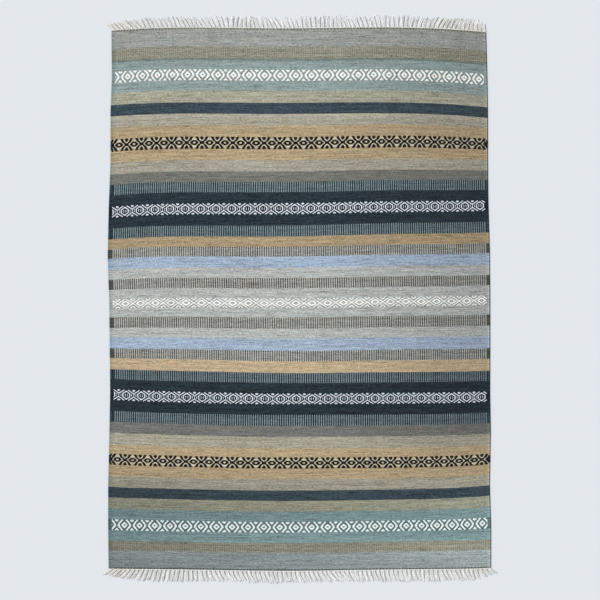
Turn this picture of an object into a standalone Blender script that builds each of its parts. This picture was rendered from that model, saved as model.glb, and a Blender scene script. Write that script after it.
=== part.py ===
"""A flat-woven striped kilim, laid out flat, with seven brocaded bands and a fringe at each end.

Metres, +Z up. The warps run along Y and the wefts along X. The underside lies on Z = 0, and the
origin is under the middle of the whole rug, fringes included.
"""
import math
import random

import bmesh
import bpy

RUG_NAME = "kilim"


def table(columns, *rows):
    """A short table: `columns` names the values of each row, in order."""
    return [dict(zip(columns.split(), row)) for row in rows]


# The cloth: a flat weave of wool on cotton warps.
CLOTH_THICK = 0.0040
END_THICK = 0.0032          # the first wefts at each end are beaten down lower
END_TURN = 0.0050           # length over which the cloth thins to that
SEAT_GAP = 0.0003           # between the cloth's end and the heading of its fringe

# Outline and bow, a row for each station from the lower end to the upper one. "along" is measured
# on the middle warp, "left" and "right" are the side edges, and a lead is how far the weft through
# that station lies up the rug at that edge, ahead of the middle.
OUTLINE = table(
    "along left right lead_left lead_right",
    (-0.9977, -0.7025, 0.7065, 0.006, 0.010),
    (-0.8510, -0.7040, 0.7065, 0.009, 0.016),
    (-0.7030, -0.7040, 0.7020, 0.012, 0.021),
    (-0.4980, -0.6995, 0.7055, 0.014, 0.015),
    (-0.3570, -0.6965, 0.7030, 0.015, 0.011),
    (-0.1880, -0.6985, 0.7035, 0.006, 0.010),
    (-0.0110, -0.7000, 0.7035, -0.005, 0.010),
    (0.1650, -0.7060, 0.7020, -0.010, 0.010),
    (0.3500, -0.7020, 0.6965, -0.014, 0.009),
    (0.5190, -0.6955, 0.6950, -0.012, -0.003),
    (0.6960, -0.6955, 0.6950, -0.010, -0.016),
    (0.8290, -0.6905, 0.6930, -0.011, -0.017),
    (0.9976, -0.6920, 0.6885, -0.011, -0.015),
)
BOW_POWER = 4               # the wefts run straight in the middle and turn off near the edges

# Selvedge: a firm double warp at each side, with a groove beside it. "inset" is from the edge.
SELVEDGE = table(
    "inset height",
    (0.0000, 0.0022),
    (0.0020, 0.0042),
    (0.0055, 0.0046),
    (0.0090, 0.0036),
    (0.0120, CLOTH_THICK),
)

# Brocaded bands, from the lower end to the upper one. Their pattern yarn is laid in over the plain
# weave, so they are proud of it, and the lozenges are proud of the band. Those of one band stand
# either in the middle of a repeat (0) or between two repeats (1).
BANDS = table(
    "low_edge high_edge lozenge_place",
    (-0.8573, -0.8186, 0),
    (-0.6215, -0.5810, 1),
    (-0.3850, -0.3459, 0),
    (-0.0317, 0.0048, 0),
    (0.3146, 0.3555, 0),
    (0.5541, 0.5983, 1),
    (0.8049, 0.8447, 0),
)
BAND_PROUD = 0.0006
LOZENGE_PROUD = 0.0006
BAND_RAMP = 0.0020

# Repeats of the pattern across the rug, as shares of its width. All seven bands keep to the same
# warps, which stand a little wider apart in the middle of the rug.
REPEATS = 24
FIRST_REPEAT = 0.0035
REPEAT_SHARE = 0.04056
MIDDLE_SPREAD = 0.0045

# Fringe: the cotton warps run on past the cloth in loose locks of four, from a twined heading.
LOCKS_PER_END = 86
HEADING_WIDE = 0.0040
HEADING_THICK = 0.0038
LOCK_LENGTH = 0.0440
LOCK_LENGTH_VARIES = 0.0025
LEAN_VARIES = 4.0           # degrees
LEAN_CURL = 1.3             # a lock leaves the heading straight and leans more and more
LOCK_PARTING = 0.0085       # least distance between the middles of two tips

# Sections of a lock, from its root out: share of its length, width and height.
LOCK = table(
    "share width height",
    (0.00, 0.0082, 0.0036),
    (0.35, 0.0088, 0.0032),
    (0.72, 0.0078, 0.0026),
    (1.00, 0.0048, 0.0016),
)

# Lean of the locks in degrees, positive to +X, and the share of the full length that they keep,
# by place across the rug. At the corners they splay out and are worn short.
LEAN = table(
    "across upper_end lower_end length",
    (-0.69, -36, -50, 0.62),
    (-0.65, -48, -42, 0.95),
    (-0.55, -30, -15, 1.00),
    (-0.45, -19, -8, 1.00),
    (-0.37, -34, 10, 1.00),
    (-0.32, -26, 30, 1.00),
    (-0.23, 8, 24, 1.00),
    (-0.14, -14, 21, 1.00),
    (-0.07, -27, 7, 1.00),
    (0.00, -10, 18, 1.00),
    (0.11, 5, 34, 1.00),
    (0.19, -28, 24, 1.00),
    (0.30, -4, 15, 1.00),
    (0.37, 2, 17, 1.00),
    (0.45, 22, 8, 1.00),
    (0.56, 29, 28, 1.00),
    (0.64, 6, 14, 0.95),
    (0.69, -12, 52, 0.65),
)

WOOL_COLOUR = (0.27, 0.29, 0.28, 1.0)
COTTON_COLOUR = (0.78, 0.78, 0.72, 1.0)


def clear_scene():
    """Take every object out of the open scene."""
    for old in list(bpy.data.objects):
        bpy.data.objects.remove(old, do_unlink=True)


def lookup(rows, wanted, key, place):
    """The column `wanted` where the column `key` is `place`, in a straight line between rows."""
    if place <= rows[0][key]:
        return rows[0][wanted]
    for low, high in zip(rows, rows[1:]):
        if place <= high[key]:
            share = (place - low[key]) / (high[key] - low[key])
            return low[wanted] + share * (high[wanted] - low[wanted])
    return rows[-1][wanted]


def outline(wanted, along):
    return lookup(OUTLINE, wanted, "along", along)


def laid(along, share, inset=0.0):
    """Where a point of the cloth lies: `share` of the way across, then `inset` further to +X."""
    left = outline("left", along)
    right = outline("right", along)
    x = left + share * (right - left) + inset
    middle = (left + right) / 2
    side = (x - middle) / ((right - left) / 2)
    lead = outline("lead_left" if side < 0 else "lead_right", along)
    return x, along + lead * abs(side) ** BOW_POWER


def repeat_place(count):
    """Share of the width at the middle of a repeat, or between two for a count and a half."""
    spread = MIDDLE_SPREAD * math.sin(2 * math.pi * count / REPEATS)
    return FIRST_REPEAT + REPEAT_SHARE * count - spread


def columns_across():
    """Columns of the cloth, left to right: selvedge, one for each half repeat, selvedge.

    Each is (share, inset, height, half), with a height in the selvedges and a half elsewhere.
    """
    left = [(0.0, step["inset"], step["height"], None) for step in SELVEDGE]
    right = [(1.0, -step["inset"], step["height"], None) for step in reversed(SELVEDGE)]
    inner = [(repeat_place(half / 2), 0.0, None, half) for half in range(1, 2 * REPEATS + 1)]
    return left + inner + right


def rows_along():
    """Rows of the cloth, lower end to upper end, as (along, height, lozenge row).

    The lozenge row is odd or even where the lozenges or the places between them are proud, and
    None outside the bands.
    """
    lower, upper = OUTLINE[0]["along"], OUTLINE[-1]["along"]
    rows = [(lower, END_THICK, None), (lower + END_TURN, CLOTH_THICK, None),
            (upper - END_TURN, CLOTH_THICK, None), (upper, END_THICK, None)]
    proud = CLOTH_THICK + BAND_PROUD
    for band in BANDS:
        low, high, place = band["low_edge"], band["high_edge"], band["lozenge_place"]
        rows += [(low, CLOTH_THICK, None), (low + BAND_RAMP, proud, place),
                 ((low + high) / 2, proud, place + 1), (high - BAND_RAMP, proud, place),
                 (high, CLOTH_THICK, None)]
    taken = [row[0] for row in rows]
    for station in OUTLINE[1:-1]:
        if min(abs(station["along"] - other) for other in taken) > 2 * BAND_RAMP:
            rows.append((station["along"], CLOTH_THICK, None))
    return sorted(rows, key=lambda row: row[0])


def cloth_point(row, column):
    """Top surface of the cloth where one row crosses one column."""
    along, height, lozenge_row = row
    share, inset, edge_height, half = column
    x, y = laid(along, share, inset)
    if half is None:
        return x, y, edge_height if height >= CLOTH_THICK else min(edge_height, height)
    if lozenge_row is not None and (half + lozenge_row) % 2 == 1:
        height += LOZENGE_PROUD
    return x, y, height


def slab_from_grid(columns, rows):
    """A grid of unit cells extruded up by 1: its points carry their column, row and level."""
    mesh = bmesh.new()
    bmesh.ops.create_grid(mesh, x_segments=columns - 1, y_segments=rows - 1, size=0.5)
    for vert in mesh.verts:
        vert.co.x = round((vert.co.x + 0.5) * (columns - 1))
        vert.co.y = round((vert.co.y + 0.5) * (rows - 1))
    grown = bmesh.ops.extrude_face_region(mesh, geom=mesh.faces[:])
    raised = [part for part in grown["geom"] if isinstance(part, bmesh.types.BMVert)]
    bmesh.ops.translate(mesh, verts=raised, vec=(0.0, 0.0, 1.0))
    bmesh.ops.recalc_face_normals(mesh, faces=mesh.faces)
    return mesh


def split_between_low_corners(mesh):
    """Split each uneven cell between its two lower corners, so that a lozenge is a low pyramid."""
    for face in list(mesh.faces):
        heights = [vert.co.z for vert in face.verts]
        unevenness = heights[0] + heights[2] - heights[1] - heights[3]
        if abs(unevenness) > LOZENGE_PROUD / 2:
            low = 0 if unevenness < 0 else 1
            bmesh.utils.face_split(face, face.verts[low], face.verts[low + 2])


def build_cloth():
    """The woven field with its selvedges and bands, flat underneath."""
    columns = columns_across()
    rows = rows_along()
    mesh = slab_from_grid(len(columns), len(rows))
    for vert in mesh.verts:
        x, y, height = cloth_point(rows[round(vert.co.y)], columns[round(vert.co.x)])
        vert.co = (x, y, height if vert.co.z > 0.5 else 0.0)
    split_between_low_corners(mesh)
    return mesh


def lock_roots(width):
    """Edges of the heading's cells as shares of its width: gap, root, gap, root, to the last gap."""
    pitch = 1.0 / LOCKS_PER_END
    half_root = LOCK[0]["width"] / 2 / width
    edges = [0.0]
    for lock in range(LOCKS_PER_END):
        middle = (lock + 0.5) * pitch
        edges += [middle - half_root, middle + half_root]
    return edges + [1.0]


def lock_tips(roots, end, chance):
    """Reach of each lock from its root as (across, out), no two tips nearer than LOCK_PARTING."""
    tips = []
    for root in roots:
        lean = lookup(LEAN, end, "across", root) + chance.uniform(-LEAN_VARIES, LEAN_VARIES)
        length = LOCK_LENGTH + chance.uniform(-LOCK_LENGTH_VARIES, LOCK_LENGTH_VARIES)
        length *= lookup(LEAN, "length", "across", root)
        angle = math.radians(lean)
        tips.append([root + length * math.sin(angle), length * math.cos(angle)])
    middle = len(tips) // 2
    for index in range(middle + 1, len(tips)):
        tips[index][0] = max(tips[index][0], tips[index - 1][0] + LOCK_PARTING)
    for index in range(middle - 1, -1, -1):
        tips[index][0] = min(tips[index][0], tips[index + 1][0] - LOCK_PARTING)
    return [(tip[0] - root, tip[1]) for tip, root in zip(tips, roots)]


def section_points(root, reach, section, outward):
    """Left and right point of one section of a lock, on the ground."""
    share = section["share"]
    across, out = reach
    x = root[0] + across * share ** LEAN_CURL
    y = root[1] + outward * out * share
    slope = across * LEAN_CURL * share ** (LEAN_CURL - 1) / out
    unit = math.hypot(1.0, slope)
    half_x = section["width"] / 2 / unit
    half_y = -outward * slope * half_x
    return (x - half_x, y - half_y), (x + half_x, y + half_y)


def grow_locks(mesh, root_faces, reaches, outward):
    """Extrude each root face in steps along its lock, setting every new ring's four points."""
    roots = [(face.calc_center_median().x, face.calc_center_median().y) for face in root_faces]
    fronts = root_faces
    for section in LOCK[1:]:
        fronts = bmesh.ops.extrude_discrete_faces(mesh, faces=fronts)["faces"]
        fronts.sort(key=lambda face: face.calc_center_median().x)
        for front, root, reach in zip(fronts, roots, reaches):
            left, right = section_points(root, reach, section, outward)
            middle = front.calc_center_median()
            for vert in front.verts:
                side = left if vert.co.x < middle.x else right
                vert.co = (side[0], side[1], section["height"] if vert.co.z > middle.z else 0.0)


def build_fringe(end, seed):
    """One end's heading, a strip beside the cloth, with its locks growing out of it."""
    outward = 1 if end == "upper_end" else -1
    along = OUTLINE[-1]["along"] if outward > 0 else OUTLINE[0]["along"]
    width = outline("right", along) - outline("left", along)
    edges = lock_roots(width)
    mesh = slab_from_grid(len(edges), 2)
    for vert in mesh.verts:
        far = vert.co.y > 0.5 if outward > 0 else vert.co.y < 0.5
        top = vert.co.z > 0.5
        x, y = laid(along, edges[round(vert.co.x)])
        y += outward * (SEAT_GAP + (HEADING_WIDE if far else 0.0))
        height = LOCK[0]["height"] if far else HEADING_THICK
        vert.co = (x, y, height if top else 0.0)
    mesh.normal_update()
    outer = [face for face in mesh.faces if face.normal.y * outward > 0.9]
    outer.sort(key=lambda face: face.calc_center_median().x)
    root_faces = outer[1::2]
    roots = [face.calc_center_median().x for face in root_faces]
    reaches = lock_tips(roots, end, random.Random(seed))
    grow_locks(mesh, root_faces, reaches, outward)
    bmesh.ops.recalc_face_normals(mesh, faces=mesh.faces)
    return mesh


def yarn_material(name, colour, roughness):
    material = bpy.data.materials.new(name)
    material.use_nodes = True
    shader = material.node_tree.nodes["Principled BSDF"]
    shader.inputs["Base Color"].default_value = colour
    shader.inputs["Roughness"].default_value = roughness
    shader.inputs["Metallic"].default_value = 0.0
    return material


def add_piece(name, mesh, material, collection):
    data = bpy.data.meshes.new(name)
    mesh.to_mesh(data)
    mesh.free()
    data.materials.append(material)
    piece = bpy.data.objects.new(name, data)
    collection.objects.link(piece)
    return piece


def centre_on_origin(pieces):
    """Move the pieces together so that their common box is centred over the origin."""
    points = [vert.co for piece in pieces for vert in piece.data.vertices]
    x_middle = (min(p.x for p in points) + max(p.x for p in points)) / 2
    y_middle = (min(p.y for p in points) + max(p.y for p in points)) / 2
    for piece in pieces:
        piece.location = (-x_middle, -y_middle, 0.0)


def main():
    clear_scene()
    collection = bpy.data.collections.new(RUG_NAME)
    bpy.context.scene.collection.children.link(collection)
    pieces = [
        add_piece("kilim_cloth", build_cloth(), yarn_material("wool_weave", WOOL_COLOUR, 0.9),
                  collection),
        add_piece("fringe_upper", build_fringe("upper_end", 11),
                  yarn_material("cotton_upper", COTTON_COLOUR, 0.85), collection),
        add_piece("fringe_lower", build_fringe("lower_end", 23),
                  yarn_material("cotton_lower", COTTON_COLOUR, 0.85), collection),
    ]
    centre_on_origin(pieces)


main()
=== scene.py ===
"""The looks of a flat-woven kilim: ribbed wool stripes, brocaded bands and a plied cotton fringe.

Metres, +Z up. Lengths across the rug are shares of its width from the left selvedge, and lengths
along it are measured on the middle warp. laid() turns them into places on the floor.
"""
import math
import random

import bpy
import numpy as np
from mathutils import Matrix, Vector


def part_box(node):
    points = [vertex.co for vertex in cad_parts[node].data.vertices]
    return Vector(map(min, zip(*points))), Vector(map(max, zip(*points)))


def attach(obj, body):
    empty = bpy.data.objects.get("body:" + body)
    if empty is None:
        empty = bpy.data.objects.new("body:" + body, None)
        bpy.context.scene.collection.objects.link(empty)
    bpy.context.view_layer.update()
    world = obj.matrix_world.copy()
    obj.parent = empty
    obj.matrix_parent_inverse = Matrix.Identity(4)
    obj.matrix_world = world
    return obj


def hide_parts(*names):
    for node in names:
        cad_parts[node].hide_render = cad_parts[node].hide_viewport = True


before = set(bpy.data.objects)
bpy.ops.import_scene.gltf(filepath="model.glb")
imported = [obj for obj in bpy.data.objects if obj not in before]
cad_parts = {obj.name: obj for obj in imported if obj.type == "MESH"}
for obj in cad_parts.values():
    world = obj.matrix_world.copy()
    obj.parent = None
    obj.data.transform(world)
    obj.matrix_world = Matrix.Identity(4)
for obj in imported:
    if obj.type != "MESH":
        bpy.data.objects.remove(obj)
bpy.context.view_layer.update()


def table(columns, *rows):
    """A short table: `columns` names the values of each row, in order."""
    return [dict(zip(columns.split(), row)) for row in rows]


# Cloth, as in the solids
CLOTH_THICK = 0.0040
END_THICK = 0.0032
END_TURN = 0.0050            # length over which each end grows thinner
SEAT_GAP = 0.0003            # between the cloth and each fringe's heading
BOW_POWER = 4                # the higher, the nearer to the sides the ends start to bow
BAND_PROUD = 0.0006
LOZENGE_PROUD = 0.0006
BAND_RAMP = 0.0020
REPEATS = 24                 # of the motifs, across the rug
FIRST_REPEAT = 0.0035        # share of the width at the middle of the first, by the selvedge
REPEAT_SHARE = 0.04056       # share of the width that each takes
MIDDLE_SPREAD = 0.0045       # how far they move aside, being wider in the rug's middle
STRIPE_WAVE = 0.0022         # how far the stripes wave across the rug
WAVE_CREST = 0.46            # share of the width where the stripes lie lowest
WAVE_LENGTH = 0.62
# How far the stripes hang besides, in full from a quarter of the width outwards
SAG = table(
    "along left right",
    (-0.96, 0.0000, 0.0000),
    (-0.87, 0.0015, 0.0000),
    (-0.70, 0.0000, 0.0015),
    (-0.53, 0.0005, 0.0042),
    (-0.37, 0.0000, 0.0030),
    (-0.24, -0.0033, 0.0008),
    (-0.13, 0.0010, -0.0005),
    (0.00, 0.0018, -0.0010),
    (0.15, 0.0020, -0.0022),
    (0.25, 0.0033, -0.0047),
    (0.35, 0.0040, -0.0015),
    (0.57, 0.0008, -0.0028),
    (0.73, 0.0018, 0.0022),
    (0.83, -0.0006, 0.0010),
    (0.96, 0.0000, 0.0000),
)
# The two sides, and how far up the stripes bow where they meet them
OUTLINE = table(
    "along left right lead_left lead_right",
    (-0.9977, -0.7025, 0.7065, 0.006, 0.010),
    (-0.8510, -0.7040, 0.7065, 0.009, 0.016),
    (-0.7030, -0.7040, 0.7020, 0.012, 0.021),
    (-0.4980, -0.6995, 0.7055, 0.014, 0.015),
    (-0.3570, -0.6965, 0.7030, 0.015, 0.011),
    (-0.1880, -0.6985, 0.7035, 0.006, 0.010),
    (-0.0110, -0.7000, 0.7035, -0.005, 0.010),
    (0.1650, -0.7060, 0.7020, -0.010, 0.010),
    (0.3500, -0.7020, 0.6965, -0.014, 0.009),
    (0.5190, -0.6955, 0.6950, -0.012, -0.003),
    (0.6960, -0.6955, 0.6950, -0.010, -0.016),
    (0.8290, -0.6905, 0.6930, -0.011, -0.017),
    (0.9976, -0.6920, 0.6885, -0.011, -0.015),
)

# Selvedge: the outer double cord, the groove beside it and the first plain warp
SELVEDGE = table(
    "inset height",
    (0.0000, 0.0014),
    (0.0007, 0.0030),
    (0.0020, 0.0042),
    (0.0040, 0.0046),
    (0.0060, 0.0043),
    (0.0076, 0.0039),
    (0.0090, 0.0036),
    (0.0102, 0.0038),
    (0.0120, 0.0039),
)
CORD_WIDE = 0.0090
# The selvedge's wefts beside the stripe's own colour, partly painted shade where the edge rounds
# down: darker and bluer on the left, and on the right a dark outer cord, painted shade over denser
# wefts, with a lighter one inside it, a painted highlight on its crest
LEFT_CORD_AND_SHADE = (0.88, 0.92, 0.93)
RIGHT_CORD_AND_SHADE = (0.52, 0.57, 0.59)
INNER_CORD_HIGHLIGHT = (1.10, 1.12, 1.12)
OUTER_CORD_WIDE = 0.0040
# Grounds beside which the selvedge's yarn is not the stripe's second one
CORD_YARN = {"cream": "ink", "mist": "navy"}

# Warps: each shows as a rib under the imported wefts
WARPS_PER_REPEAT = 14
FIRST_WARP = 3
LAST_WARP = 340
RIB_DEPTH = 0.0005
RIB_SHOULDER = 0.27          # share of a rib's width between its groove and its shoulder
# A rib's columns from the groove on its left: place in warps from its middle, and depth
RIB_STEPS = ((-0.5, RIB_DEPTH), (-0.5 + RIB_SHOULDER, 0.0), (0.5 - RIB_SHOULDER, 0.0))
WARP_WANDER = 0.06           # unevenness of the warps' spacing, as a share of it
WANDER_SEED = 5
RIBS_PER_UNDERSIDE_CELL = 4
PICK = 0.0019                # a weft's width along the rug
TWINED_WARPS = 1.5           # warps under each turn of the twining at the ends
SHARP_ANGLE = 70             # degrees between faces that are shaded as an edge

# The yarns' own colours, in sRGB from 0 to 255. The light makes them look a little brighter.
YARNS = {
    "grey": (149, 151, 147),
    "olive": (145, 145, 131),
    "dark_olive": (128, 127, 112),
    "teal": (136, 151, 150),
    "khaki": (158, 156, 140),
    "navy": (55, 69, 78),
    "sage": (156, 152, 138),
    "linen": (166, 161, 146),
    "tan": (168, 150, 120),
    "cream": (193, 185, 163),
    "buff": (162, 143, 114),
    "pine": (113, 123, 117),
    "deep_teal": (135, 148, 146),
    "night": (19, 27, 35),
    "mid_grey": (158, 161, 159),
    # The hem: partly the twining's own darker yarn, partly painted shadow of the heading cord, with
    # dots of painted shadow between the twining's turns
    "hem": (136, 139, 126),
    "hem_shade": (90, 93, 81),
    "warm_grey": (112, 112, 107),
    "ink": (34, 46, 55),
    "dusk": (9, 15, 19),
    "mist": (120, 138, 143),
    "stone": (171, 171, 166),
    "slate": (74, 75, 72),
    "light_blue": (153, 169, 189),
    "light_grey": (170, 173, 171),
    "white": (254, 255, 253),
    "cool_white": (230, 238, 248),
    "black": (8, 8, 6),
}
# Dark dyes take less evenly: how much more so at black, and the sum of a colour that is pale
DARK_UNEVENNESS = 1.6
PALE = 330
# Dye lots of the lower half that differ from the upper half's, and the lower hem's colours, partly
# painted shadow
LOWER_YARNS = {
    "grey": (143, 152, 153),
    "teal": (126, 151, 153),
    "deep_teal": (94, 116, 118),
    "khaki": (153, 153, 135),
    "sage": (154, 150, 135),
    "buff": (181, 162, 133),
    "warm_grey": (108, 108, 105),
    "mist": (116, 132, 140),
    "ink": (31, 43, 51),
    "white": (245, 254, 254),
    "cool_white": (224, 232, 242),
    # The lower hem: its yarn with painted shadow, and the dots of painted shadow between the
    # twining's turns
    "hem": (124, 131, 127),
    "hem_shade": (68, 75, 71),
}

# Stripes from each end to the middle. A stripe with a second yarn is woven pick and pick, which
# puts the two yarns on alternate warps. "motif" names the chart of a brocaded band. The widths
# run along the rug, and are scaled together to fill its outline.
STRIPES = table(
    "ground second motif upper_width lower_width",
    # The twined end: its yarn alternates with dots of painted shadow between its turns
    ("hem", "hem_shade", None, 0.0050, 0.0050),
    ("grey", None, None, 0.0635, 0.0606),
    ("olive", "dark_olive", None, 0.0423, 0.0365),
    ("pine", None, None, 0.0085, 0.0000),
    ("teal", None, None, 0.0335, 0.0383),
    ("deep_teal", None, "dotted_lozenge", 0.0398, 0.0387),
    ("teal", None, None, 0.0379, 0.0383),
    ("khaki", None, None, 0.0420, 0.0398),
    ("navy", None, None, 0.0416, 0.0376),
    ("linen", None, None, 0.0180, 0.0000),
    ("sage", None, None, 0.0244, 0.0409),
    ("tan", None, None, 0.0427, 0.0405),
    ("cream", None, "crossed_lozenge", 0.0442, 0.0405),
    ("tan", None, None, 0.0405, 0.0343),
    ("sage", None, None, 0.0416, 0.0421),
    ("warm_grey", None, None, 0.0376, 0.0405),
    ("mist", "dusk", None, 0.0383, 0.0393),
    ("ink", None, None, 0.0405, 0.0398),
    ("night", None, "cross_and_hexagon", 0.0409, 0.0391),
    ("ink", None, None, 0.0413, 0.0383),
    ("mist", "dusk", None, 0.0405, 0.0368),
    ("buff", None, None, 0.0379, 0.0431),
    ("stone", "slate", None, 0.0361, 0.0387),
    ("light_blue", None, None, 0.0413, 0.0449),
    ("light_grey", None, None, 0.0383, 0.0372),
    ("stone", "slate", None, 0.0379, 0.0416),
    ("light_grey", None, None, 0.0365, 0.0335),
)
MIDDLE_STRIPE = {"ground": "mid_grey", "second": None, "motif": "linked_lozenge",
                 "width": 0.0365}

# Quarter charts of the brocade, one sign for each half warp from the middle of a repeat to halfway
# to the next, and one row for each weft from the middle of the band outwards. "#" is pattern yarn.
CHARTS = {
    "dotted_lozenge": (
        "..####...####..",
        "..####...####..",
        "#####....####..",
        "####....####...",
        "###....####....",
        "##.....####....",
        "#.....####....#",
        ".....####....##",
        "....####....###",
        "...####....####",
        "...####....####",
    ),
    "crossed_lozenge": (
        "####...#####...",
        "####....####...",
        ".####....#####.",
        "...####...#####",
        "....####....###",
        "#....####......",
        "##....####.....",
        "###...####.....",
        "###....####....",
        "###....####....",
        "###.....####...",
    ),
    "cross_and_hexagon": (
        "..#...##..#...#",
        "..#...##..#...#",
        "..#...##..#...#",
        "......##.....##",
        "....###.....###",
        "...###....###..",
        ".###.....###...",
        "###....###.....",
        "##....###....##",
        "....###.....###",
        "....##......###",
    ),
    "linked_lozenge": (
        "#....####...###",
        "....####....###",
        "...####...###..",
        ".#####...###...",
        "####....###....",
        "###....###.....",
        "#....###.....##",
        "....###.....##.",
        "...###.....###.",
        "..##......###..",
        ".##.......##...",
    ),
}
# Pattern yarns that aren't white
PATTERN_YARN = {"crossed_lozenge": "black", "cross_and_hexagon": "cool_white"}
# Bands whose lozenges stand between two repeats of the warps
SHIFTED_LOZENGES = ("crossed_lozenge",)
# Bands whose pattern yarn runs on over the selvedges, with its first and last warps
FULL_WIDTH = {"crossed_lozenge": (1, 343)}
# How far the neighbouring stripe's yarn reaches into a band, under its pattern
GROUND_INSET = {"crossed_lozenge": 0.0052}

# A float of pattern yarn over the ground: how far it stands above the ribs and reaches into them
FLOAT_PROUD = 0.0005
FLOAT_SUNK = 0.0004
# Share of a pick's room that the yarn fills, and how far a float reaches past its last warp, in
# warps. The band in black has a fuller, looser yarn, and two of the white ones have a finer one.
FLOAT_FILL, FLOAT_END = 1.18, 0.05
OTHER_FLOATS = {"crossed_lozenge": (1.40, 0.30), "dotted_lozenge": (1.08, 0.0),
                "linked_lozenge": (1.10, 0.02)}
FLOAT_SHOULDER = 0.17        # how far inside its end it comes up to its full height
# Its four rings from end to end, as shares of its height and width, and a ring's four corners
# from edge to edge, as shares of half the width
RING_HEIGHTS = (-0.3, 1.0, 1.0, -0.3)
RING_WIDTHS = (0.85, 1.0, 1.0, 0.85)
RING_CORNERS = (-1.0, -0.55, 0.55, 1.0)
PATTERN_UNEVENNESS = 0.35    # its changes of tone, as a share of the wool's
# The pattern yarn takes part of the ground's painted shade as well as part of its fading
PATTERN_FADING_AND_SHADE = 0.4           # how far it fades, as a share of the ground's fading

# Fringe, as in the solids, each lock four plied warps
LOCKS_PER_END = 86
HEADING_WIDE = 0.0040
FRINGE_SEEDS = {"upper_end": 11, "lower_end": 23}
LOCK_LENGTH = 0.0440
LOCK_LENGTH_VARIES = 0.0025
LEAN_VARIES = 4.0            # degrees
LEAN_CURL = 1.3              # the higher, the more of its lean a lock gets near its tip
LOCK_PARTING = 0.0085        # least distance between two tips
# Lean at each end in degrees to the right, and share of the full length
LEAN = table(
    "across upper_end lower_end length",
    (-0.69, -36, -50, 0.62),
    (-0.65, -48, -42, 0.95),
    (-0.55, -30, -15, 1.00),
    (-0.45, -19, -8, 1.00),
    (-0.37, -34, 10, 1.00),
    (-0.32, -26, 30, 1.00),
    (-0.23, 8, 24, 1.00),
    (-0.14, -14, 21, 1.00),
    (-0.07, -27, 7, 1.00),
    (0.00, -10, 18, 1.00),
    (0.11, 5, 34, 1.00),
    (0.19, -28, 24, 1.00),
    (0.30, -4, 15, 1.00),
    (0.37, 2, 17, 1.00),
    (0.45, 22, 8, 1.00),
    (0.56, 29, 28, 1.00),
    (0.64, 6, 14, 0.95),
    (0.69, -12, 52, 0.65),
)
YARN_PLACES = (-0.0039, -0.0013, 0.0013, 0.0039)
YARN_RADIUS = 0.00140
PLY_RADIUS = 0.00086
YARN_TURNS = 4
YARN_RINGS = 17
YARN_SIDES = 4
YARN_LENGTHS = (0.86, 1.03)  # shares of its lock's length
TIP_SPREAD = 0.0031
ROOT_STRAY = 0.0004
TIP_GATHER = (0.55, 1.25)    # a lock's width at its tip, as a share of that at its root
YARN_WAVE = 0.0007           # how far a yarn waves to either side at most
YARN_WAVE_TURNS = 1.3
YARN_WAVE_PHASE = 500        # turns of phase for each metre of that
SETTLING = 0.25              # share of its length over which a yarn comes to its own height
FRAY_START, FRAY_LENGTH = 0.85, 0.15      # shares of its length
FRAY_LOOSENS, FRAY_THINS = 0.9, 0.45      # by what share its plies part and grow thinner
# Dark yarns that lie under them, between two locks on the right of each: painted shadow of the
# locks on the floor
SHADOW_YARN_PLACES = (0.0066, 0.0083)
SHADOW_YARN_RADIUS = 0.0008
YARN_LIFT = 0.0006
ROOT_HEIGHT = 0.0020
ROOT_INSIDE = 0.6            # how far across the heading the yarns start, as a share of it
HEADING_RADIUS = 0.0018
HEADING_PLY = 0.0010
HEADING_TURNS_PER_LOCK = 2
HEADING_RINGS_PER_TURN = 8
HEADING_SIDES = 5

# How much of their colour the yarns keep: partly where light and wear have faded them, partly
# painted shade of uneven light, darker towards the lower left and along the upper right
FADING_AND_SHADE = table(
    "along left middle right",
    (-0.965, 0.60, 0.78, 0.98),
    (-0.914, 0.76, 0.86, 1.20),
    (-0.877, 0.66, 0.84, 0.74),
    (-0.800, 0.62, 0.68, 0.87),
    (-0.760, 0.60, 0.71, 0.82),
    (-0.680, 0.80, 0.88, 0.92),
    (-0.630, 0.92, 0.95, 0.82),
    (-0.565, 1.03, 1.05, 0.85),
    (-0.480, 1.00, 1.00, 0.71),
    (-0.285, 1.00, 1.00, 0.72),
    (-0.250, 0.86, 1.00, 0.72),
    (-0.220, 1.00, 1.00, 0.72),
    (0.000, 1.00, 1.00, 0.73),
    (0.960, 0.97, 1.00, 0.74),
)

# The wool's noises: how fast each changes from warp to warp and from pick to pick, how far it is
# moved along the picks, and its detail
WOOL_NOISES = {
    "fibre": (3.0, 6.0, 0.0, 4.0),
    "streak": (0.08, 0.45, 0.0, 2.0),
    "grain": (0.45, 0.45, 0.0, 1.0),
    "cloud": (0.012, 0.24, 0.0, 2.0),
    "tint": (0.06, 0.2, 40.0, 2.0),
}
# How far they change the tone to either side, and the two hues that the tint runs between
WOOL_TONES = {"streak": 0.27, "cloud": 0.15, "grain": 0.26, "fibre": 0.1}
WARM_HUE = (1.042, 0.99, 0.968, 1.0)
COOL_HUE = (0.958, 1.01, 1.025, 1.0)
WOOL_BUMP, WOOL_RELIEF = 0.6, 0.0004
FIBRE_RELIEF = 0.5           # height of the fibres, as a share of a pick's bead
WOOL_ROUGHNESS = (0.82, 0.98)
WOOL_SHEEN_ROUGHNESS = 0.5

COTTON = (252, 253, 250)
# Colour of the yarns that stand for the locks' shadow: painted shadow
SHADOW_COTTON = (171, 170, 164)
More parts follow.
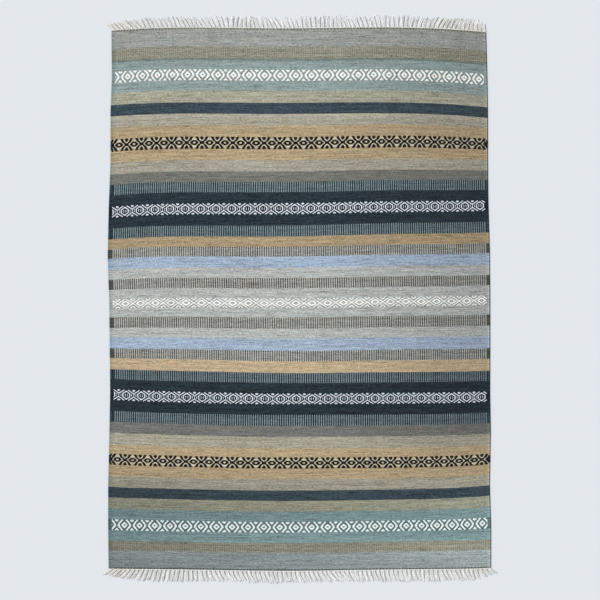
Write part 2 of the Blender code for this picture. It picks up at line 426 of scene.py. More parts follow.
# The cotton's noises, for each metre, and the tones that they spread over: soil from place to
# place, strands across and along the rug, and fibres
SOIL_SCALE, SOIL_TONES = 9.0, (0.95, 1.03)
STRAND_SCALES, STRAND_TONES = (230.0, 40.0), (0.77, 1.03)
FIBRE_SCALE, FIBRE_TONES = 1800.0, (0.95, 1.03)
OUTER_SOIL = (0.93, 0.90, 0.855, 1.0)     # what the outermost locks keep of red, green and blue
OUTER_START, OUTER_FULL = 0.40, 0.66      # how far out that starts and is in full
COTTON_BUMP, COTTON_RELIEF = 0.5, 0.0002
COTTON_ROUGHNESS = (0.75, 0.95)
SPECULAR, SHEEN = 0.2, 0.08               # of both yarns
NOISE_LOW, NOISE_HIGH = 0.3, 0.7          # between these lies nearly all of a noise

FLOOR = (213, 217, 222)
FLOOR_SIZE = 14.0
FLOOR_DROP = 0.0002          # below the rug, so that the two don't share a plane
SKY_STRENGTH = 0.63
SUN_STRENGTH = 2.3
SUN_WIDTH = 40               # degrees
SUN_TILT = (-35, -28)        # degrees about x and y

# The photo's frame: its 600 pixels take in this much of the floor
VIEW_WIDTH = 2.2104
VIEW_CENTRE = (0.0002, -0.0035)
CAMERA_HEIGHT = 4.3
SENSOR = 0.036


def linear(colour, unevenness=1.0):
    """An sRGB colour from 0 to 255 as linear RGB, with the yarn's unevenness of tone as alpha."""
    shares = [value / 255 for value in colour]
    return [s / 12.92 if s <= 0.04045 else ((s + 0.055) / 1.055) ** 2.4
            for s in shares] + [unevenness]


def column(rows, name):
    return [row[name] for row in rows]


def read_off(rows, name, place, key="along"):
    """One column of a table, read off at any place between the rows of its key column."""
    return np.interp(place, column(rows, key), column(rows, name))


def eased(share):
    """A share from 0 to 1 that starts and ends gently."""
    return share * share * (3 - 2 * share)


# The middle of the solids' box is over the origin, which puts them a little beside OUTLINE
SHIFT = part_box("kilim_cloth")[0].x - min(column(OUTLINE, "left"))


def outline(name, along):
    return read_off(OUTLINE, name, along)


def sag(along, share):
    """How far the stripes hang below a straight line at these places."""
    left, right = read_off(SAG, "left", along), read_off(SAG, "right", along)
    wave = STRIPE_WAVE * np.cos(2 * np.pi * (share - WAVE_CREST) / WAVE_LENGTH)
    return wave + np.where(share < 0.5, left, right) * np.minimum(1.0, np.abs(4 * share - 2))


def laid(along, share, inset=0.0):
    """Where points of the cloth lie on the floor, as x and y."""
    left, right = outline("left", along), outline("right", along)
    x = left + share * (right - left) + inset
    side = (2 * x - left - right) / (right - left)
    lead = np.where(side < 0, outline("lead_left", along), outline("lead_right", along))
    return x + SHIFT, along + lead * np.abs(side) ** BOW_POWER - sag(along, share)


def repeat_place(count):
    """Share of the width at the middle of a repeat, or between two for a count and a half."""
    spread = MIDDLE_SPREAD * np.sin(2 * np.pi * count / REPEATS)
    return FIRST_REPEAT + REPEAT_SHARE * count - spread


def warp_places(warps):
    """Shares of the width for places counted in warps, whole numbers being a warp's middle."""
    count = LAST_WARP + 3
    wander = np.random.default_rng(WANDER_SEED).uniform(-WARP_WANDER, WARP_WANDER, count)
    moved = np.interp(warps, np.arange(count) - 0.5, wander)
    return repeat_place((np.asarray(warps, float) + moved) / WARPS_PER_REPEAT)


def fading_and_shade(along, share):
    """Share of their colour that the yarns keep at these places, from fading and painted shade."""
    left, middle, right = (read_off(FADING_AND_SHADE, name, along) for name in ("left", "middle", "right"))
    return middle + eased(np.abs(2 * share - 1)) * (np.where(share < 0.5, left, right) - middle)


def stripes_along():
    """Every stripe from the lower end to the upper one, with its edges and its half's yarns."""
    lots = {"lower_width": {**YARNS, **LOWER_YARNS}, "upper_width": YARNS}
    lower, upper = ([dict(stripe, width=stripe[name], yarns=yarns) for stripe in STRIPES]
                    for name, yarns in lots.items())
    whole = lower + [dict(MIDDLE_STRIPE, yarns=YARNS)] + upper[::-1]
    low, high = OUTLINE[0]["along"], OUTLINE[-1]["along"]
    scale = (high - low) / sum(column(whole, "width"))
    for stripe in whole:
        stripe["low"], stripe["high"] = low, low + stripe["width"] * scale
        low = stripe["high"]
    return whole


def band_rows(band):
    """Rows of a brocaded band as (along, height, lozenge row), None where no lozenge shows."""
    low, high = band["low"], band["high"]
    place = 1 if band["motif"] in SHIFTED_LOZENGES else 0
    proud = CLOTH_THICK + BAND_PROUD
    steps = [BAND_RAMP]
    if band["motif"] in GROUND_INSET:
        steps.append(GROUND_INSET[band["motif"]])
    rising = [(low + step, proud, place) for step in steps]
    falling = [(high - step, proud, place) for step in reversed(steps)]
    return [(low, CLOTH_THICK, None), *rising, ((low + high) / 2, proud, place + 1), *falling,
            (high, CLOTH_THICK, None)]


def cloth_rows(stripes):
    """Rows of the cloth, lower end to upper end: the stripes' edges, the bands and the outline."""
    lower, upper = stripes[0]["low"], stripes[-1]["high"]
    rows = [(lower, END_THICK, None), (lower + END_TURN, CLOTH_THICK, None),
            (upper - END_TURN, CLOTH_THICK, None), (upper, END_THICK, None)]
    for stripe in stripes:
        if stripe["motif"]:
            rows += band_rows(stripe)
    others = column(stripes[1:], "low") + column(OUTLINE[1:-1], "along")
    for along in others:
        if min(abs(along - row[0]) for row in rows) > BAND_RAMP / 2:
            rows.append((along, CLOTH_THICK, None))
    return sorted(rows, key=lambda row: row[0])


def lozenge(count, row):
    """How far up a lozenge a place is, from 0 between lozenges to 1 at a peak."""
    return 1 - np.abs((2 * count + row) % 2 - 1)


def row_heights(row, count):
    """Height of the ribs' crests along one row."""
    _, height, lozenge_row = row
    if lozenge_row is None:
        return np.full(np.shape(count), height)
    return height + LOZENGE_PROUD * lozenge(count, lozenge_row)


def cloth_columns():
    """Columns of the cloth: share, inset, warp, the selvedge's height or NaN, and rib depth."""
    left = [(0.0, step["inset"], 0.0, step["height"], 0.0) for step in SELVEDGE]
    right = [(1.0, -step["inset"], 0.0, step["height"], 0.0) for step in reversed(SELVEDGE)]
    steps = [(warp + step, depth) for warp in range(FIRST_WARP, LAST_WARP + 1)
             for step, depth in RIB_STEPS] + [(LAST_WARP + 0.5, RIB_DEPTH)]
    shares = warp_places([warp for warp, _ in steps])
    ribs = [(share, 0.0, warp, math.nan, depth) for share, (warp, depth) in zip(shares, steps)]
    return np.array(left + ribs + right)


def cloth_points(rows, columns):
    """Top points of the cloth, as arrays of rows by columns."""
    share, inset, warp, edge_height, depth = columns.T
    along = np.array([row[0] for row in rows])
    x, y = laid(along[:, None], share[None, :], inset[None, :])
    crest = np.array([row_heights(row, warp / WARPS_PER_REPEAT) for row in rows])
    thin = np.array([row[1] < CLOTH_THICK for row in rows])[:, None]
    edge = np.where(thin, np.minimum(edge_height, END_THICK), edge_height)
    z = np.where(np.isnan(edge_height), crest - depth, edge)
    return np.stack([x, y, z], axis=-1)


def cloth_faces(row_count, column_count, under):
    """Top, underside, side and end faces of the sheet. `under` is the underside's columns."""
    def top(row, place):
        return row * column_count + place

    start = row_count * column_count

    def below(row, place):
        return start + row * len(under) + place

    faces = []
    for row in range(row_count - 1):
        faces += [(top(row, c), top(row, c + 1), top(row + 1, c + 1), top(row + 1, c))
                  for c in range(column_count - 1)]
    for row in range(row_count - 1):
        faces += [(below(row, k), below(row + 1, k), below(row + 1, k + 1), below(row, k + 1))
                  for k in range(len(under) - 1)]
    last, far = column_count - 1, len(under) - 1
    for row in range(row_count - 1):
        faces.append((top(row, 0), top(row + 1, 0), below(row + 1, 0), below(row, 0)))
        faces.append((below(row, far), below(row + 1, far), top(row + 1, last), top(row, last)))
    end = row_count - 1
    for k in range(far):
        between = range(under[k], under[k + 1] + 1)
        faces.append((below(0, k), below(0, k + 1), *(top(0, c) for c in reversed(between))))
        faces.append((below(end, k + 1), below(end, k), *(top(end, c) for c in between)))
    return faces


def new_piece(name, points, faces, material):
    """A mesh object that rides on the rug's one body."""
    mesh = bpy.data.meshes.new(name)
    mesh.from_pydata(np.asarray(points).reshape(-1, 3).tolist(), [], faces)
    mesh.materials.append(material)
    mesh.shade_smooth()
    piece = bpy.data.objects.new(name, mesh)
    bpy.context.scene.collection.objects.link(piece)
    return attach(piece, "root")


def set_weave(mesh, warp, along, share, fading_and_shade_share=1.0):
    """Give each point its place in the weave, in warps and picks, and how much of its colour it
    keeps, faded and under painted shade.
    """
    corner_points = np.empty(len(mesh.loops), dtype=np.int32)
    mesh.loops.foreach_get("vertex_index", corner_points)
    places = np.stack([np.ravel(warp), np.ravel(along) / PICK], axis=-1)
    layer = mesh.uv_layers.new(name="weave")
    layer.uv.foreach_set("vector", places[corner_points].astype(np.float32).ravel())
    kept = mesh.attributes.new("fading_and_shade", "FLOAT", "POINT")
    values = 1 + fading_and_shade_share * (fading_and_shade(np.ravel(along), np.ravel(share)) - 1)
    kept.data.foreach_set("value", values.astype(np.float32))


def set_yarn(mesh, face_colours):
    """Give each face the colour of the yarn that lies on top there."""
    sizes = np.empty(len(mesh.polygons), dtype=np.int32)
    mesh.polygons.foreach_get("loop_total", sizes)
    layer = mesh.color_attributes.new("yarn", "FLOAT_COLOR", "CORNER")
    corners = np.repeat(face_colours, sizes, axis=0)
    layer.data.foreach_set("color", corners.astype(np.float32).ravel())
    mesh.update()


# Where each colour of a stripe goes: on every other warp, and on the cords of the selvedges, which
# carry painted shade and a painted highlight
EVEN_WARPS, ODD_WARPS, LEFT_SHADED_CORD, RIGHT_SHADED_CORD, RIGHT_HIGHLIT_CORD = range(5)


def stripe_colours(stripe):
    """A stripe's colours, in the order of the names above."""
    ground = stripe["yarns"][stripe["ground"]]
    second = stripe["yarns"][stripe["second"] or stripe["ground"]]
    cord = stripe["yarns"].get(CORD_YARN.get(stripe["ground"]), second)
    shaded_and_lit_cords = [[value * share for value, share in zip(cord, shares)]
             for shares in (LEFT_CORD_AND_SHADE, RIGHT_CORD_AND_SHADE, INNER_CORD_HIGHLIGHT)]
    return [linear(colour, 1 + DARK_UNEVENNESS * max(0.0, 1 - sum(colour) / PALE))
            for colour in (ground, second, *shaded_and_lit_cords)]


def cloth_colours(stripes, rows, columns, under_count):
    """Yarn colour of every face, in the order of cloth_faces."""
    along = np.array([row[0] for row in rows])
    middles = (along[1:] + along[:-1]) / 2
    stripe_of = np.searchsorted(column(stripes, "high"), middles)
    for number, stripe in enumerate(stripes):
        if stripe["motif"] in GROUND_INSET:
            own, reach = stripe_of == number, GROUND_INSET[stripe["motif"]]
            stripe_of[own & (middles < stripe["low"] + reach)] -= 1
            stripe_of[own & (middles > stripe["high"] - reach)] += 1
    palette = np.array([stripe_colours(stripe) for stripe in stripes])
    _, inset, warp, edge_height, _ = columns.T
    inset, warp = ((values[1:] + values[:-1]) / 2 for values in (inset, warp))
    in_edge = ~np.isnan(edge_height[1:]) | ~np.isnan(edge_height[:-1])
    kind = np.where(in_edge, ODD_WARPS, np.floor(warp + 0.5).astype(int) % 2)
    # The selvedges' cords: painted shade on the left cord and the right's outer cord, and a painted
    # highlight on the right's inner one
    kind = np.where(in_edge & (inset > 0) & (inset < CORD_WIDE), LEFT_SHADED_CORD, kind)
    kind = np.where(in_edge & (inset < 0) & (inset > -CORD_WIDE), RIGHT_HIGHLIT_CORD, kind)
    kind = np.where(in_edge & (inset < 0) & (inset > -OUTER_CORD_WIDE), RIGHT_SHADED_CORD, kind)
    # At each end the twining's turns alternate with dots of painted shadow between them
    twine = np.where(in_edge, EVEN_WARPS, np.floor(warp / TWINED_WARPS).astype(int) % 2)
    twined = np.isin(stripe_of, (0, len(stripes) - 1))[:, None]
    top = palette[stripe_of[:, None], np.where(twined, twine, kind)].reshape(-1, 4)
    under = np.repeat(palette[stripe_of, EVEN_WARPS], under_count - 1, axis=0)
    # The side walls take the painted shade of the outer cords
    sides = palette[stripe_of][:, (LEFT_SHADED_CORD, RIGHT_SHADED_CORD)].reshape(-1, 4)
    # The end walls take the lower hem's yarn, darkened with painted shadow
    ends = np.tile(palette[0, EVEN_WARPS], (2 * (under_count - 1), 1))
    return np.concatenate([top, under, sides, ends])


def foot_rows(stripes, rows):
    """Rows where a band or an end's thinning meets the plain cloth."""
    feet = [edge for band in stripes if band["motif"] for edge in (band["low"], band["high"])]
    feet += [stripes[0]["low"] + END_TURN, stripes[-1]["high"] - END_TURN]
    return [number for number, row in enumerate(rows) if row[0] in feet]


def sharpen_rows(mesh, column_count, wanted):
    """Keep the shading of one side of these rows from running over to the other."""
    ends = np.empty(2 * len(mesh.edges), dtype=np.int32)
    mesh.edges.foreach_get("vertices", ends)
    row = ends.reshape(-1, 2) // column_count
    sharp = (row[:, 0] == row[:, 1]) & np.isin(row[:, 0], wanted)
    mesh.set_sharp_from_angle(angle=math.radians(SHARP_ANGLE))
    layer = mesh.attributes["sharp_edge"]
    kept = np.empty(len(mesh.edges), dtype=bool)
    layer.data.foreach_get("value", kept)
    layer.data.foreach_set("value", kept | sharp)


def weave_cloth(stripes, material):
    """The cloth: a ribbed sheet over a flat underside of fewer columns."""
    rows = cloth_rows(stripes)
    columns = cloth_columns()
    step = len(RIB_STEPS) * RIBS_PER_UNDERSIDE_CELL
    under = list(range(0, len(columns) - 1, step)) + [len(columns) - 1]
    top = cloth_points(rows, columns)
    bottom = top[:, under].copy()
    bottom[..., 2] = 0.0
    points = np.concatenate([top.reshape(-1, 3), bottom.reshape(-1, 3)])
    cloth = new_piece("kilim_weave", points, cloth_faces(len(rows), len(columns), under), material)

    def at_points(values):
        """Values at the points, from those of the rows or those of the columns."""
        grid = np.broadcast_to(values, top.shape[:2])
        return np.concatenate([grid.ravel(), grid[:, under].ravel()])

    share, _, warp, _, _ = columns.T
    along = np.array([row[0] for row in rows])[:, None]
    set_weave(cloth.data, at_points(warp), at_points(along), at_points(share))
    set_yarn(cloth.data, cloth_colours(stripes, rows, columns, len(under)))
    sharpen_rows(cloth.data, len(columns), foot_rows(stripes, rows))
    return cloth


def skin_faces(count, rings, sides):
    """Faces of `count` closed skins, each of `rings` rings with `sides` points."""
    ring = np.arange(rings - 1)[:, None] * sides
    side = np.arange(sides)[None, :]
    after = (side + 1) % sides
    walls = np.stack([ring + side, ring + sides + side, ring + sides + after, ring + after],
                     axis=-1)
    first = np.arange(count) * rings * sides
    walls = (first[:, None, None] + walls.reshape(1, -1, 4)).reshape(-1, 4).tolist()
    caps = np.stack([np.arange(sides), (rings - 1) * sides + np.arange(sides)[::-1]])
    return walls + (first[:, None, None] + caps[None]).reshape(-1, sides).tolist()


def floats_in_row(signs, first_warp, last_warp):
    """Start and end of each float of a row, in warps, from the signs of its quarter chart.

    A sign stands for half a warp, and covers a quarter to each side of its place.
    """
    half = len(signs) - 1
    first = 2 * first_warp - 1
    laid_on = [signs[half - abs(half - place % (2 * half))] == "#"
               for place in range(first, 2 * last_warp + 2)]
    runs, start = [], None
    for place, on in enumerate(laid_on + [False], first):
        if on and start is None:
            start = place
        elif not on and start is not None:
            runs.append((start / 2 - 0.25, place / 2 - 0.25))
            start = None
    return runs


def band_floats(band):
    """Every float of a band as (start, end, along), row by row."""
    chart = CHARTS[band["motif"]]
    reach = len(chart) - 1
    pick = (band["high"] - band["low"]) / (2 * reach + 1)
    warps = FULL_WIDTH.get(band["motif"], (FIRST_WARP, LAST_WARP))
    floats = []
    for row in range(-reach, reach + 1):
        along = (band["low"] + band["high"]) / 2 + row * pick
        floats += [(start, end, along) for start, end in floats_in_row(chart[abs(row)], *warps)]
    return np.array(floats), pick


def band_surface(band, along, warp):
    """Height of the ribs' crests under a band."""
    rows = band_rows(band)
    places = [row[0] for row in rows]
    heights = np.array([row_heights(row, warp / WARPS_PER_REPEAT) for row in rows])
    found = np.zeros(np.shape(warp))
    for low in range(len(rows) - 1):
        share = (along - places[low]) / (places[low + 1] - places[low])
        inside = (share >= 0) & (share <= 1)
        found = np.where(inside, heights[low] + share * (heights[low + 1] - heights[low]), found)
    return found


def weave_band(band, number, material):
    """The pattern yarn of one band, a low rounded strand for each float."""
    floats, pick = band_floats(band)
    start, end, along = floats.T
    fill, past = OTHER_FLOATS.get(band["motif"], (FLOAT_FILL, FLOAT_END))
    start, end = start - past, end + past
    warps = np.stack([start, start + FLOAT_SHOULDER, end - FLOAT_SHOULDER, end], axis=-1)
    along = np.broadcast_to(along[:, None], warps.shape)
    share = warp_places(warps)
    surface = band_surface(band, along, warps)
    proud = np.array(RING_HEIGHTS) * FLOAT_PROUD
    half = np.array(RING_WIDTHS) * pick * fill / 2
    spread = along[..., None] + np.array(RING_CORNERS) * half[:, None]
    sections = np.empty(spread.shape + (3,))
    sections[..., 0], sections[..., 1] = laid(spread, share[..., None])
    sections[..., 2] = surface[..., None] - FLOAT_SUNK
    sections[..., 1:3, 2] = (surface + proud)[..., None]
    faces = skin_faces(len(floats), len(RING_HEIGHTS), len(RING_CORNERS))
    piece = new_piece(f"brocade_{number}", sections, faces, material)
    set_weave(piece.data, np.broadcast_to(warps[..., None], spread.shape), spread,
              np.broadcast_to(share[..., None], spread.shape), PATTERN_FADING_AND_SHADE)
    yarn = linear(band["yarns"][PATTERN_YARN.get(band["motif"], "white")], PATTERN_UNEVENNESS)
    set_yarn(piece.data, np.tile(yarn, (len(faces), 1)))
    return piece


def crosswise(paths):
    """Two directions square to each path at each of its rings: a level one, and one upwards."""
    forward = np.gradient(paths, axis=1)
    forward /= np.linalg.norm(forward, axis=-1, keepdims=True)
    side = np.cross(forward, (0.0, 0.0, 1.0))
    side /= np.linalg.norm(side, axis=-1, keepdims=True)
    return side, np.cross(side, forward)


def tubes(paths, radii, sides):
    """Closed tubes along `paths`, an array of tube by ring by xyz."""
    side, up = crosswise(paths)
    angles = 2 * np.pi * (np.arange(sides) + 0.5) / sides
    around = (np.cos(angles)[:, None] * side[..., None, :]
              + np.sin(angles)[:, None] * up[..., None, :])
    points = paths[..., None, :] + np.asarray(radii)[..., None, None] * around
    return points.reshape(-1, 3), skin_faces(len(paths), paths.shape[1], sides)


def plies(centres, radius, turns, phase):
    """Paths of the two plies that twist round each path in `centres`."""
    side, up = crosswise(centres)
    share = np.linspace(0.0, 1.0, centres.shape[1])
    paths = []
    for half_turn in (0.0, np.pi):
        angle = (2 * np.pi * turns * share[None, :] + phase[:, None] + half_turn)[..., None]
        paths.append(centres + radius[..., None] * (np.cos(angle) * side + np.sin(angle) * up))
    return np.concatenate(paths)


def lock_tips(roots, end, chance):
    """Reach of each lock from its root as (across, out), no two tips nearer than LOCK_PARTING."""
    tips = []
    for root in roots:
        lean = read_off(LEAN, end, root, "across") + chance.uniform(-LEAN_VARIES, LEAN_VARIES)
        length = LOCK_LENGTH + chance.uniform(-LOCK_LENGTH_VARIES, LOCK_LENGTH_VARIES)
        length *= read_off(LEAN, "length", root, "across")
        angle = math.radians(lean)
        tips.append([root + length * math.sin(angle), length * math.cos(angle)])
    middle = len(tips) // 2
    for index in range(middle + 1, len(tips)):
        tips[index][0] = max(tips[index][0], tips[index - 1][0] + LOCK_PARTING)
    for index in range(middle - 1, -1, -1):
        tips[index][0] = min(tips[index][0], tips[index + 1][0] - LOCK_PARTING)
    return [(tip[0] - root, tip[1]) for tip, root in zip(tips, roots)]


def end_line(end):
    """Which way an end's fringe points, and where that end of the cloth is."""
    return (1, OUTLINE[-1]["along"]) if end == "upper_end" else (-1, OUTLINE[0]["along"])


def yarn_centres(end, places, height):
    """Middle lines of an end's yarns. `places` are those of one lock, across it."""
    outward, along = end_line(end)
    root_x, root_y = laid(along, (np.arange(LOCKS_PER_END) + 0.5) / LOCKS_PER_END)
    root_y = root_y + outward * (SEAT_GAP + HEADING_WIDE * ROOT_INSIDE)
    reaches = np.array(lock_tips(root_x - SHIFT, end, random.Random(FRINGE_SEEDS[end])))
    root_x, root_y = np.repeat(root_x, len(places)), np.repeat(root_y, len(places))
    across, out = np.repeat(reaches, len(places), axis=0).T

    chance = np.random.default_rng(FRINGE_SEEDS[end])
    count = LOCKS_PER_END * len(places)
    out = out * chance.uniform(*YARN_LENGTHS, count)
    offset = np.tile(places, LOCKS_PER_END) + chance.normal(0.0, ROOT_STRAY, count)
    stray = chance.normal(0.0, TIP_SPREAD, count)[:, None]
    wave = chance.uniform(-YARN_WAVE, YARN_WAVE, count)[:, None]
    gather = np.repeat(chance.uniform(*TIP_GATHER, LOCKS_PER_END), len(places))[:, None]

    share = np.linspace(0.0, 1.0, YARN_RINGS)[None, :]
    turns = share * YARN_WAVE_TURNS + wave * YARN_WAVE_PHASE
    sway = offset[:, None] * (1 + (gather - 1) * share) + stray * share ** 2
    sway = sway + wave * np.sin(2 * np.pi * turns)
    x = root_x[:, None] + across[:, None] * share ** LEAN_CURL + sway
    y = root_y[:, None] + outward * out[:, None] * share
    z = ROOT_HEIGHT + (height - ROOT_HEIGHT) * eased(np.clip(share / SETTLING, 0.0, 1.0))
    return np.stack([x, y, np.broadcast_to(z, x.shape)], axis=-1)


def upper_yarns(end):
    """The plied yarns of the locks, frayed at their tips."""
    centres = yarn_centres(end, YARN_PLACES, YARN_RADIUS + YARN_LIFT)
    share = np.linspace(0.0, 1.0, YARN_RINGS)
    fray = np.clip((share - FRAY_START) / FRAY_LENGTH, 0.0, 1.0)
    twist = (YARN_RADIUS - PLY_RADIUS) * (1 + FRAY_LOOSENS * fray)
    phase = np.random.default_rng(FRINGE_SEEDS[end] + 1).uniform(0, 2 * np.pi, len(centres))
    paths = plies(centres, np.broadcast_to(twist, centres.shape[:2]), YARN_TURNS, phase)
    radii = np.broadcast_to(PLY_RADIUS * (1 - FRAY_THINS * fray), paths.shape[:2])
    paths[..., 2] = np.maximum(paths[..., 2], radii)
    return tubes(paths, radii, YARN_SIDES)


def shadow_yarns(end):
    """Dark yarns between the locks, which lie on the floor: painted shadow of the locks."""
    centres = yarn_centres(end, SHADOW_YARN_PLACES, SHADOW_YARN_RADIUS)
    return tubes(centres, np.full(centres.shape[:2], SHADOW_YARN_RADIUS), YARN_SIDES)


def heading(end):
    """The twined cord that holds an end's warps."""
    outward, along = end_line(end)
    turns = HEADING_TURNS_PER_LOCK * LOCKS_PER_END
    x, y = laid(along, np.linspace(0.0, 1.0, turns * HEADING_RINGS_PER_TURN + 1))
    y = y + outward * (SEAT_GAP + HEADING_WIDE / 2)
    line = np.stack([x, y, np.full_like(x, HEADING_RADIUS)], axis=-1)[None]
    twist = np.full(line.shape[:2], HEADING_RADIUS - HEADING_PLY)
    paths = plies(line, twist, turns, np.zeros(1))
    return tubes(paths, np.full(paths.shape[:2], HEADING_PLY), HEADING_SIDES)


def spin_fringe(end, material):
    """One end's warps with the cord that holds them, and dark yarns between the locks as their
    painted shadow.
    """
    points, faces, colours = [], [], []
    for spun, colour in ((upper_yarns, COTTON), (shadow_yarns, SHADOW_COTTON), (heading, COTTON)):
        found, skin = spun(end)
        faces += [[corner + len(points) for corner in face] for face in skin]
        points += found.tolist()
        colours += [linear(colour)] * len(skin)
    fringe = new_piece(f"cotton_{end}", points, faces, material)
    set_yarn(fringe.data, np.array(colours))
    return fringe


class Nodes:
    """A material's nodes. Inputs given by name have "_" for each blank in the name."""

    def __init__(self, name):
        self.material = bpy.data.materials.new(name)
        self.material.use_nodes = True
        self.tree = self.material.node_tree
        self.shader = self.tree.nodes["Principled BSDF"]

    def put(self, socket, value):
        """Link a socket to `value`, or set it where that is a plain value."""
        if isinstance(value, bpy.types.NodeSocket):
            self.tree.links.new(value, socket)
        else:
            socket.default_value = value

    def fill(self, node, inputs):
        for name, value in inputs.items():
            self.put(node.inputs[name.replace("_", " ")], value)

    def shade(self, **inputs):
        self.fill(self.shader, inputs)

    def add(self, kind, settings=None, **inputs):
        node = self.tree.nodes.new("ShaderNode" + kind)
        for name, value in (settings or {}).items():
            setattr(node, name, value)
        self.fill(node, inputs)
        return node

    def math(self, operation, *values):
        node = self.add("Math", {"operation": operation})
        for socket, value in zip(node.inputs, values):
            self.put(socket, value)
        return node.outputs[0]

    def attribute(self, name):
        return self.add("Attribute", {"attribute_name": name}).outputs

    def parts(self, vector):
        """The x and y of a vector."""
        outputs = self.add("SeparateXYZ", Vector=vector).outputs
        return outputs["X"], outputs["Y"]

    def place(self, x, y):
        return self.add("CombineXYZ", X=x, Y=y).outputs[0]

    def scaled(self, colour, factor):
        node = self.add("VectorMath", {"operation": "SCALE"}, Scale=factor)
        self.put(node.inputs[0], colour)
        return node.outputs[0]

    def noise(self, place, detail=2.0):
        return self.add("TexNoise", Vector=place, Scale=1.0, Detail=detail).outputs["Fac"]

    def spread(self, value, low, high):
        """A noise's value, which keeps near a half, spread out between two numbers."""
        return self.add("MapRange", Value=value, From_Min=NOISE_LOW, From_Max=NOISE_HIGH,
                        To_Min=low, To_Max=high).outputs["Result"]

    def mixed(self, blend, share, first, second):
        settings = {"data_type": "RGBA", "blend_type": blend}
        return self.add("Mix", settings, Factor=share, A=first, B=second).outputs["Result"]

    def bumped(self, strength, distance, height):
        node = self.add("Bump", Strength=strength, Distance=distance, Height=height)
        return node.outputs["Normal"]


def wool_noise(nodes, warp, pick, across, along, moved, detail):
    """Noise in the weave, changing `across` times as fast as the warps and `along` as the picks."""
    x = nodes.math("MULTIPLY", warp, across)
    y = nodes.math("ADD", nodes.math("MULTIPLY", pick, along), moved)
    return nodes.noise(nodes.place(x, y), detail)


def wool_material():
    """Wool wefts beaten down over the warps: heathered, matt, with a bead at each crossing."""
    nodes = Nodes("wool_weave")
    warp, pick = nodes.parts(nodes.add("UVMap", {"uv_map": "weave"}).outputs["UV"])
    noises = {name: wool_noise(nodes, warp, pick, *scales) for name, scales in WOOL_NOISES.items()}

    parity = nodes.math("MODULO", nodes.math("ROUND", warp), 2.0)
    phase = nodes.math("ADD", pick, nodes.math("MULTIPLY", parity, 0.5))
    bead = nodes.math("ABSOLUTE", nodes.math("SINE", nodes.math("MULTIPLY", phase, math.pi)))
    fibres = nodes.math("MULTIPLY", noises["fibre"], FIBRE_RELIEF)
    normal = nodes.bumped(WOOL_BUMP, WOOL_RELIEF, nodes.math("ADD", bead, fibres))

    tone = 0.0
    for name, swing in WOOL_TONES.items():
        tone = nodes.math("ADD", tone, nodes.spread(noises[name], -swing, swing))
    # The yarn's tone times the share of its colour that it keeps, which holds painted shade as well
    # as fading
    dye, kept = nodes.attribute("yarn"), nodes.attribute("fading_and_shade")["Fac"]
    tone = nodes.math("MULTIPLY", nodes.math("MULTIPLY_ADD", tone, dye["Alpha"], 1.0), kept)
    hue = nodes.mixed("MIX", nodes.spread(noises["tint"], 0.0, 1.0), WARM_HUE, COOL_HUE)
    dyed = nodes.mixed("MULTIPLY", 1.0, dye["Color"], hue)
    nodes.shade(Base_Color=nodes.scaled(dyed, tone), Normal=normal,
                Roughness=nodes.spread(noises["fibre"], *WOOL_ROUGHNESS),
                Specular_IOR_Level=SPECULAR, Sheen_Weight=SHEEN,
                Sheen_Roughness=WOOL_SHEEN_ROUGHNESS)
    return nodes.material


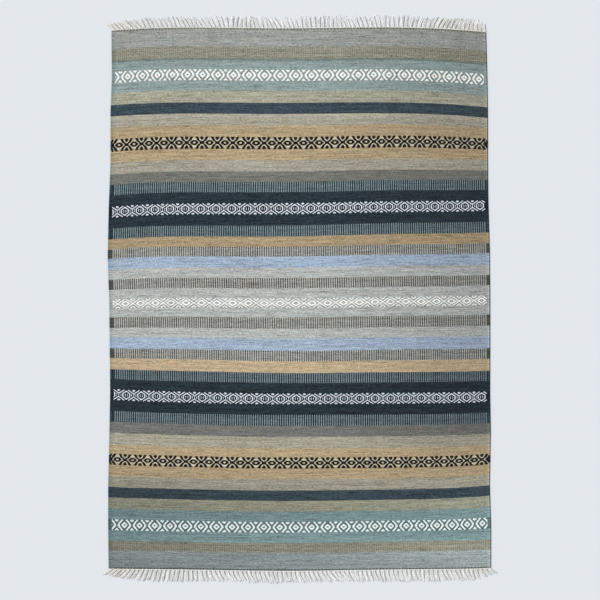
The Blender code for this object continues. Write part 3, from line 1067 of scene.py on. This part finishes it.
def cotton_material():
    """Undyed cotton yarn, a little uneven in tone, with its fibres twisted."""
    nodes = Nodes("cotton_fringe")
    place = nodes.add("TexCoord").outputs["Object"]
    x, y = nodes.parts(place)
    soil = nodes.noise(nodes.scaled(place, SOIL_SCALE))
    fibre = nodes.noise(nodes.scaled(place, FIBRE_SCALE), detail=3.0)
    across, along = (nodes.math("MULTIPLY", value, scale)
                     for value, scale in zip((x, y), STRAND_SCALES))
    strand = nodes.noise(nodes.place(across, along), detail=1.0)
    tone = nodes.math("MULTIPLY", nodes.spread(soil, *SOIL_TONES),
                      nodes.spread(fibre, *FIBRE_TONES))
    tone = nodes.math("MULTIPLY", tone, nodes.spread(strand, *STRAND_TONES))
    outer = nodes.add("MapRange", Value=nodes.math("ABSOLUTE", x), From_Min=OUTER_START,
                      From_Max=OUTER_FULL).outputs["Result"]
    soiled = nodes.mixed("MULTIPLY", outer, nodes.attribute("yarn")["Color"], OUTER_SOIL)
    nodes.shade(Base_Color=nodes.scaled(soiled, tone),
                Normal=nodes.bumped(COTTON_BUMP, COTTON_RELIEF, fibre),
                Roughness=nodes.spread(fibre, *COTTON_ROUGHNESS),
                Specular_IOR_Level=SPECULAR, Sheen_Weight=SHEEN)
    return nodes.material


def lay_floor():
    """A pale, matt floor under the rug."""
    bpy.ops.mesh.primitive_plane_add(size=FLOOR_SIZE, location=(0.0, 0.0, -FLOOR_DROP))
    floor = bpy.context.object
    floor.name = "floor"
    nodes = Nodes("pale_floor")
    nodes.shade(Base_Color=linear(FLOOR), Roughness=0.9, Specular_IOR_Level=0.0)
    floor.data.materials.append(nodes.material)


def light_studio():
    """Soft light from all round, and more of it from a broad window at the upper left."""
    world = bpy.data.worlds.new("studio")
    world.use_nodes = True
    sky = world.node_tree.nodes["Background"]
    sky.inputs["Color"].default_value = (1.0, 1.0, 1.0, 1.0)
    sky.inputs["Strength"].default_value = SKY_STRENGTH
    bpy.context.scene.world = world
    light = bpy.data.lights.new("window", "SUN")
    light.energy = SUN_STRENGTH
    light.angle = math.radians(SUN_WIDTH)
    window = bpy.data.objects.new("window", light)
    window.rotation_euler = (*(math.radians(tilt) for tilt in SUN_TILT), 0.0)
    bpy.context.scene.collection.objects.link(window)


def place_camera():
    """Straight above the rug, as the photo was taken."""
    lens = bpy.data.cameras.new("camera")
    lens.sensor_width = SENSOR * 1000
    lens.lens = SENSOR * 1000 * CAMERA_HEIGHT / VIEW_WIDTH
    lens.clip_end = 50.0
    camera = bpy.data.objects.new("camera", lens)
    camera.location = (VIEW_CENTRE[0], VIEW_CENTRE[1], CAMERA_HEIGHT)
    bpy.context.scene.collection.objects.link(camera)
    bpy.context.scene.camera = camera


def main():
    bpy.context.scene.view_settings.view_transform = "Standard"
    wool, cotton = wool_material(), cotton_material()
    stripes = stripes_along()
    cloth = weave_cloth(stripes, wool)
    bands = [stripe for stripe in stripes if stripe["motif"]]
    brocade = [weave_band(band, number, wool) for number, band in enumerate(bands, 1)]
    upper = spin_fringe("upper_end", cotton)
    lower = spin_fringe("lower_end", cotton)
    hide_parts("kilim_cloth")
    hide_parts("fringe_upper")
    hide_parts("fringe_lower")
    lay_floor()
    light_studio()
    place_camera()


main()
